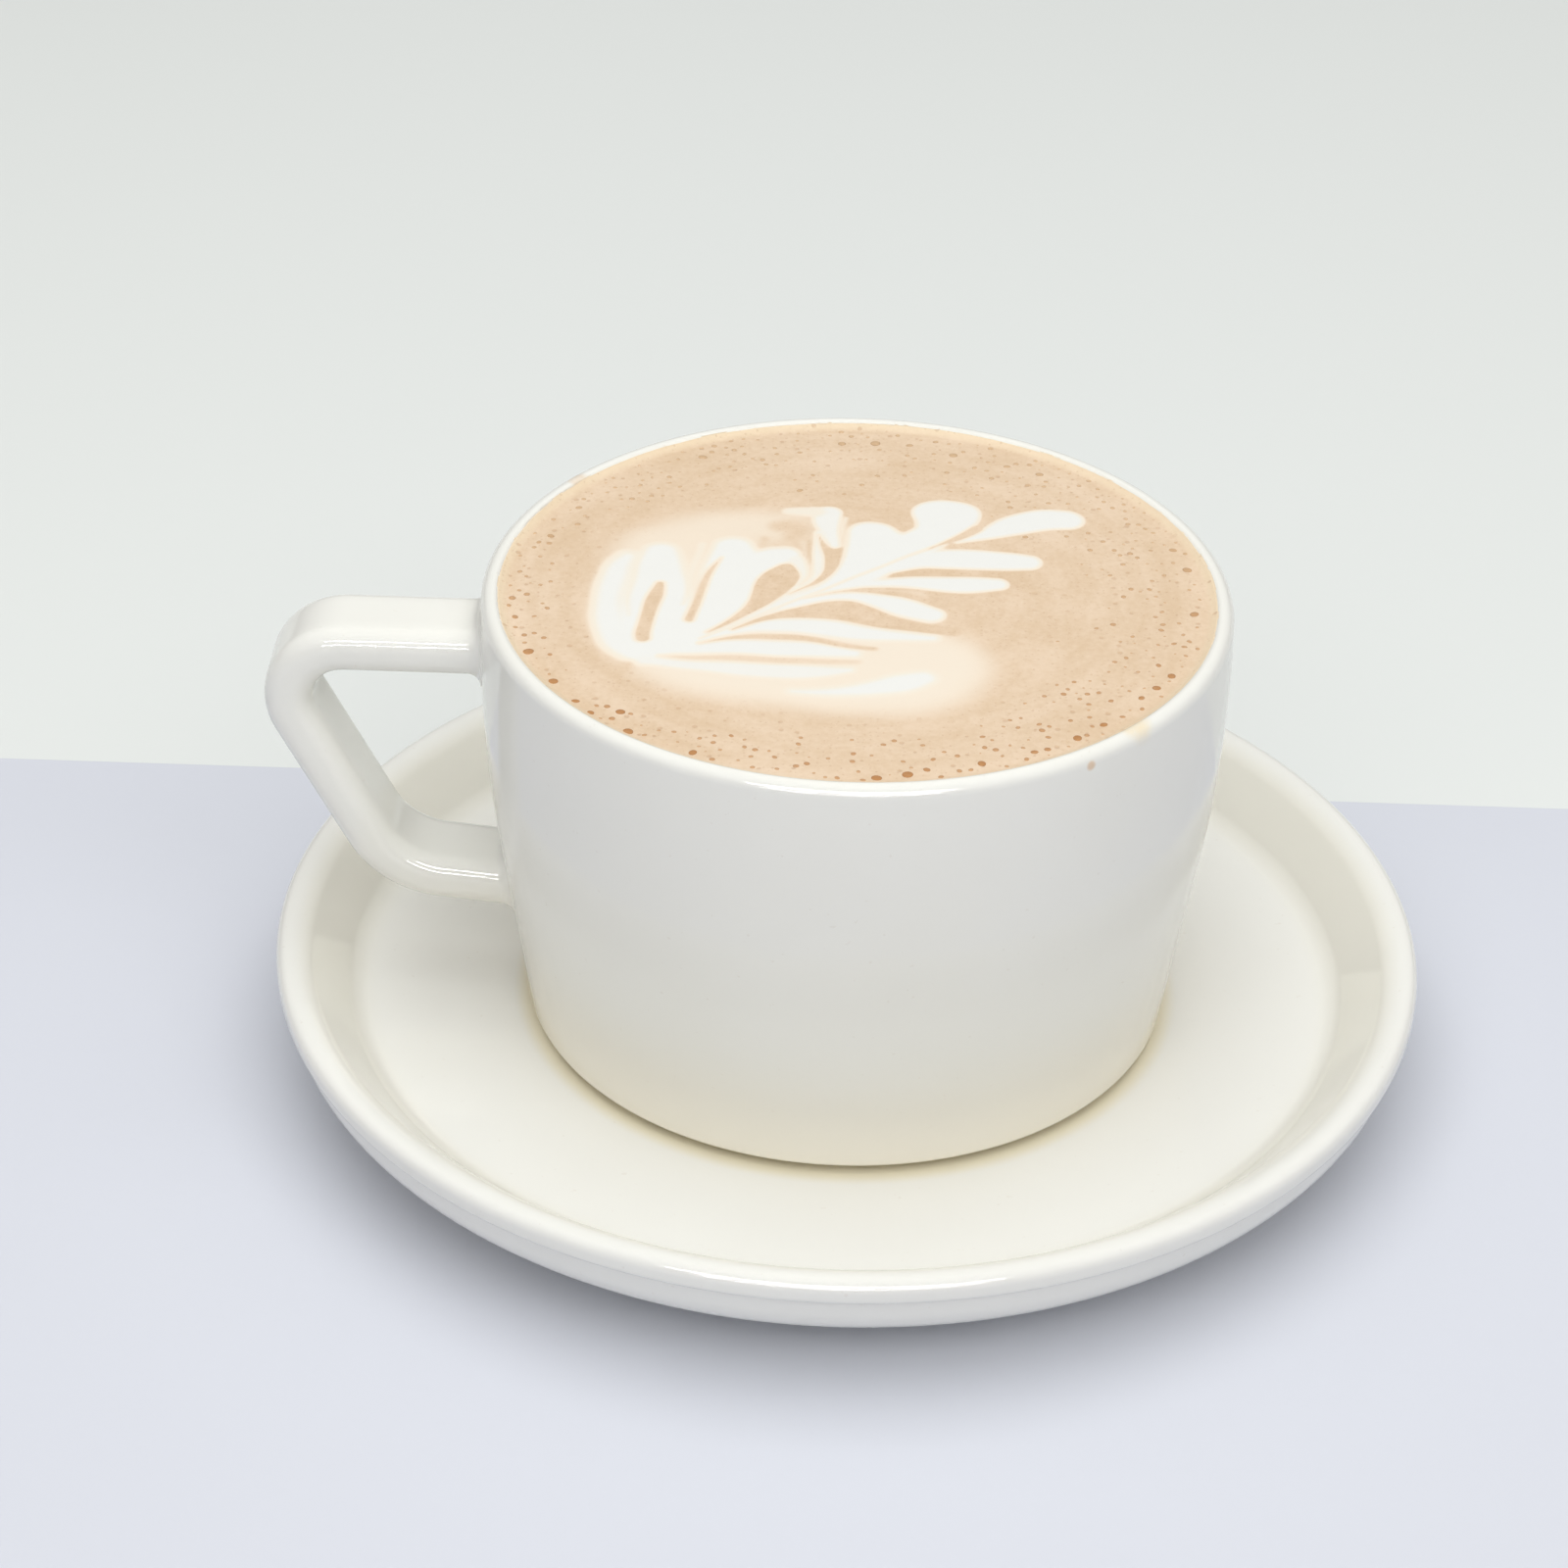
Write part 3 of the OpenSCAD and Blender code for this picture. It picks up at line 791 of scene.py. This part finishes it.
# %% Place the bubbles
BUBBLES = [
    (-41, -17.3, 1.4), (-37.3, -24.3, 1.2), (-34.2, -28.8, 1.0), (-32.2, -31.5, 1.0), (-28.5, -31, 1.1),
    (-27.3, -35.5, 1.3), (-19.2, -39.8, 1.1), (-16.8, -41.2, 0.7), (3, -44.2, 1.2), (6.7, -43.2, 1.3),
    (9, -42, 0.9), (12.9, -42, 0.7), (15.6, -40.2, 1.1), (22, -37.2, 0.9), (23.6, -36.5, 0.8),
    (27.3, -33.7, 1.2), (30.6, -30.4, 1.0), (35.5, -23.8, 0.9), (37.5, -21.3, 1.0), (39.5, -18.3, 1.1),
    (38, -15.8, 0.8), (40.2, -10.3, 0.7), (43.2, -2.7, 1.2), (42.9, 8.8, 1.2), (41.3, 14, 1.0),
    (24.2, 34, 1.0), (19.8, 36, 0.9), (12.5, 38.8, 1.1), (1.8, 41.6, 1.3), (-2.8, 41.2, 1.0),
    (6.5, 41.3, 0.9), (-21.7, 36, 1.2), (-8.2, 27.3, 0.9), (-37.5, 20.6, 0.9), (-40.6, 12.6, 1.0),
    (-42, 10.8, 0.8), (-44.2, -4, 0.9), (-43.4, -8.8, 0.9)]
TRIES = 900
OUTERMOST = 45
CLEAR = 1.3
chance = random.Random(7)
tries = []
for _ in range(TRIES):
    turn = chance.uniform(0, math.tau)
    out = OUTERMOST - abs(chance.gauss(0, 7))
    tries.append((out * math.cos(turn), out * math.sin(turn), chance.uniform(0.3, 0.75)))
milky = whiteness(np.array(tries)[:, :2])
small = []
for spot, white in zip(tries, milky):
    if white < 0.05 and all(math.dist(spot[:2], other[:2]) > CLEAR for other in BUBBLES + small):
        small.append(spot)
print(len(BUBBLES), "large bubbles and", len(small), "small ones")

# %% Blow the bubbles
FLATNESS = 0.16
bubbles = bmesh.new()
bmesh.ops.create_uvsphere(bubbles, u_segments=12, v_segments=6, radius=0.5 * MM)
film_layer = bubbles.verts.layers.float.new("brown")
pattern_points = bubbles.verts[:]
pattern = pattern_points + bubbles.edges[:] + bubbles.faces[:]
for x, y, size in BUBBLES + small:
    copy = bmesh.ops.duplicate(bubbles, geom=pattern)["geom"]
    turned_by = Matrix.Rotation(chance.uniform(0, math.pi), 4, "Z")
    stretched = Matrix.Diagonal((1.12 * size, size * chance.uniform(0.8, 1.12), FLATNESS * size, 1))
    made = [v for v in copy if isinstance(v, bmesh.types.BMVert)]
    place = Matrix.Translation((x * MM, y * MM, foam_z))
    bmesh.ops.transform(bubbles, matrix=place @ turned_by @ stretched, verts=made)
    for vert in made:
        vert[film_layer] = min(1, 0.15 + 0.85 * size)
bmesh.ops.delete(bubbles, geom=pattern_points, context="VERTS")

# %% The film of the bubbles, deeper brown towards the front, with a painted sheen towards the back
film, shader, at = finish("bubble film", Roughness=0.2, IOR=1.33, Specular_IOR_Level=0.4)
away = at.node("ShaderNodeSeparateXYZ", {}, {0: at}, 1)
# Painted sheen: the film is paler towards the back and deeper brown towards the front.
painted_sheen_tone = blend(fade(away, -30 * MM, 30 * MM), srgb(184, 134, 88), srgb(206, 174, 138))
brown = attribute(at, "brown") * (0.8 + clouds(at, 1.1 * MM, 2) * 0.4)
feed(shader, Base_Color=blend(brown, srgb(230, 200, 166), painted_sheen_tone))
piece("crema_bubbles", bubbles, film)

# %% [markdown]
# ## Stage and light
# A lavender sheet of card lies on a white sweep, which runs on past all that the camera sees. The light is
# that of a tent: a glow that grows from the horizon up, a wide panel overhead and another in front. Wide
# panels would show in the glaze as broad white patches, so they light only matt surfaces. Two thin tubes
# do the opposite: they show in the glaze as thin bright lines and light nothing else.


# %% Card and sweep
def paper(name, colour, lit=0):
    """A matt paper with a faint tooth, lit evenly from behind by that much."""
    material, shader, at = finish(name, Emission_Color=(0.96, 1, 0.97, 1), Emission_Strength=lit)
    feed(shader, Base_Color=blend(clouds(at, 1.2 * MM, 2) * 0.04, colour, srgb(200, 200, 205)),
         Roughness=0.9 - clouds(at, 6 * MM) * 0.05)
    return material


def sheet(name, low, high, z, material):
    """A level rectangle between two corners, which isn't part of the object."""
    bm = bmesh.new()
    bmesh.ops.create_grid(bm, x_segments=1, y_segments=1, size=0.5)
    bmesh.ops.scale(bm, vec=(high[0] - low[0], high[1] - low[1], 1), verts=bm.verts)
    bmesh.ops.translate(bm, vec=((high[0] + low[0]) / 2, (high[1] + low[1]) / 2, z), verts=bm.verts)
    mesh = bpy.data.meshes.new(name)
    bm.to_mesh(mesh)
    bm.free()
    mesh.materials.append(material)
    made = bpy.data.objects.new(name, mesh)
    bpy.context.scene.collection.objects.link(made)


CARD_BACK = 62 * MM
sheet("card", (-0.9, -0.8), (0.9, CARD_BACK), -0.05 * MM, paper("lavender card", srgb(215, 218, 227)))
sheet("sweep", (-3, -3), (3, 3), -0.6 * MM, paper("white sweep", srgb(211, 214, 212), lit=0.15))

# %% The glow of the tent
world = bpy.data.worlds.new("tent")
bpy.context.scene.world = world
world.use_nodes = True
glow = world.node_tree.nodes["Background"]
sky = Wire(world.node_tree.nodes.new("ShaderNodeTexCoord").outputs["Generated"])
elevation = sky.node("ShaderNodeSeparateXYZ", {}, {0: sky}, 2)
feed(glow,
     Strength=0.06 + 0.38 * fade(elevation, 0, 0.8),
     Color=blend(fade(elevation, 0, 0.5), (1, 0.75, 0.94, 1), (0.99, 0.98, 0.97, 1)))

# %% Panels and tubes
CUP_MIDDLE = Vector((0, 0, 40 * MM))


def panel(name, at, size, power, colour=(1, 1, 1), diffuse=True, glossy=True):
    """A flat lamp of that width and height, facing the cup; what it lights may be matt, glossy or both."""
    lamp = bpy.data.lights.new(name, "AREA")
    lamp.shape = "RECTANGLE"
    lamp.size, lamp.size_y = size
    lamp.energy = power
    lamp.color = colour
    made = bpy.data.objects.new(name, lamp)
    bpy.context.scene.collection.objects.link(made)
    made.visible_diffuse = diffuse
    made.visible_glossy = glossy
    back = Vector(at) - CUP_MIDDLE
    made.matrix_world = Matrix.Translation(at) @ back.to_track_quat("Z", "Y").to_matrix().to_4x4()
    print(name, round(back.length, 3), "m away")


panel("overhead", (0, 0, 0.9), (1.0, 1.0), 5.35, colour=(0.99, 1, 0.98), glossy=False)
panel("front", (0.1, -0.85, 0.9), (1.8, 0.5), 6.4, glossy=False)
panel("tube_upper", (0, -0.7, 0.67), (0.9, 0.03), 8, diffuse=False)
panel("tube_lower", (0, -0.94, 0.38), (0.9, 0.03), 6, diffuse=False)
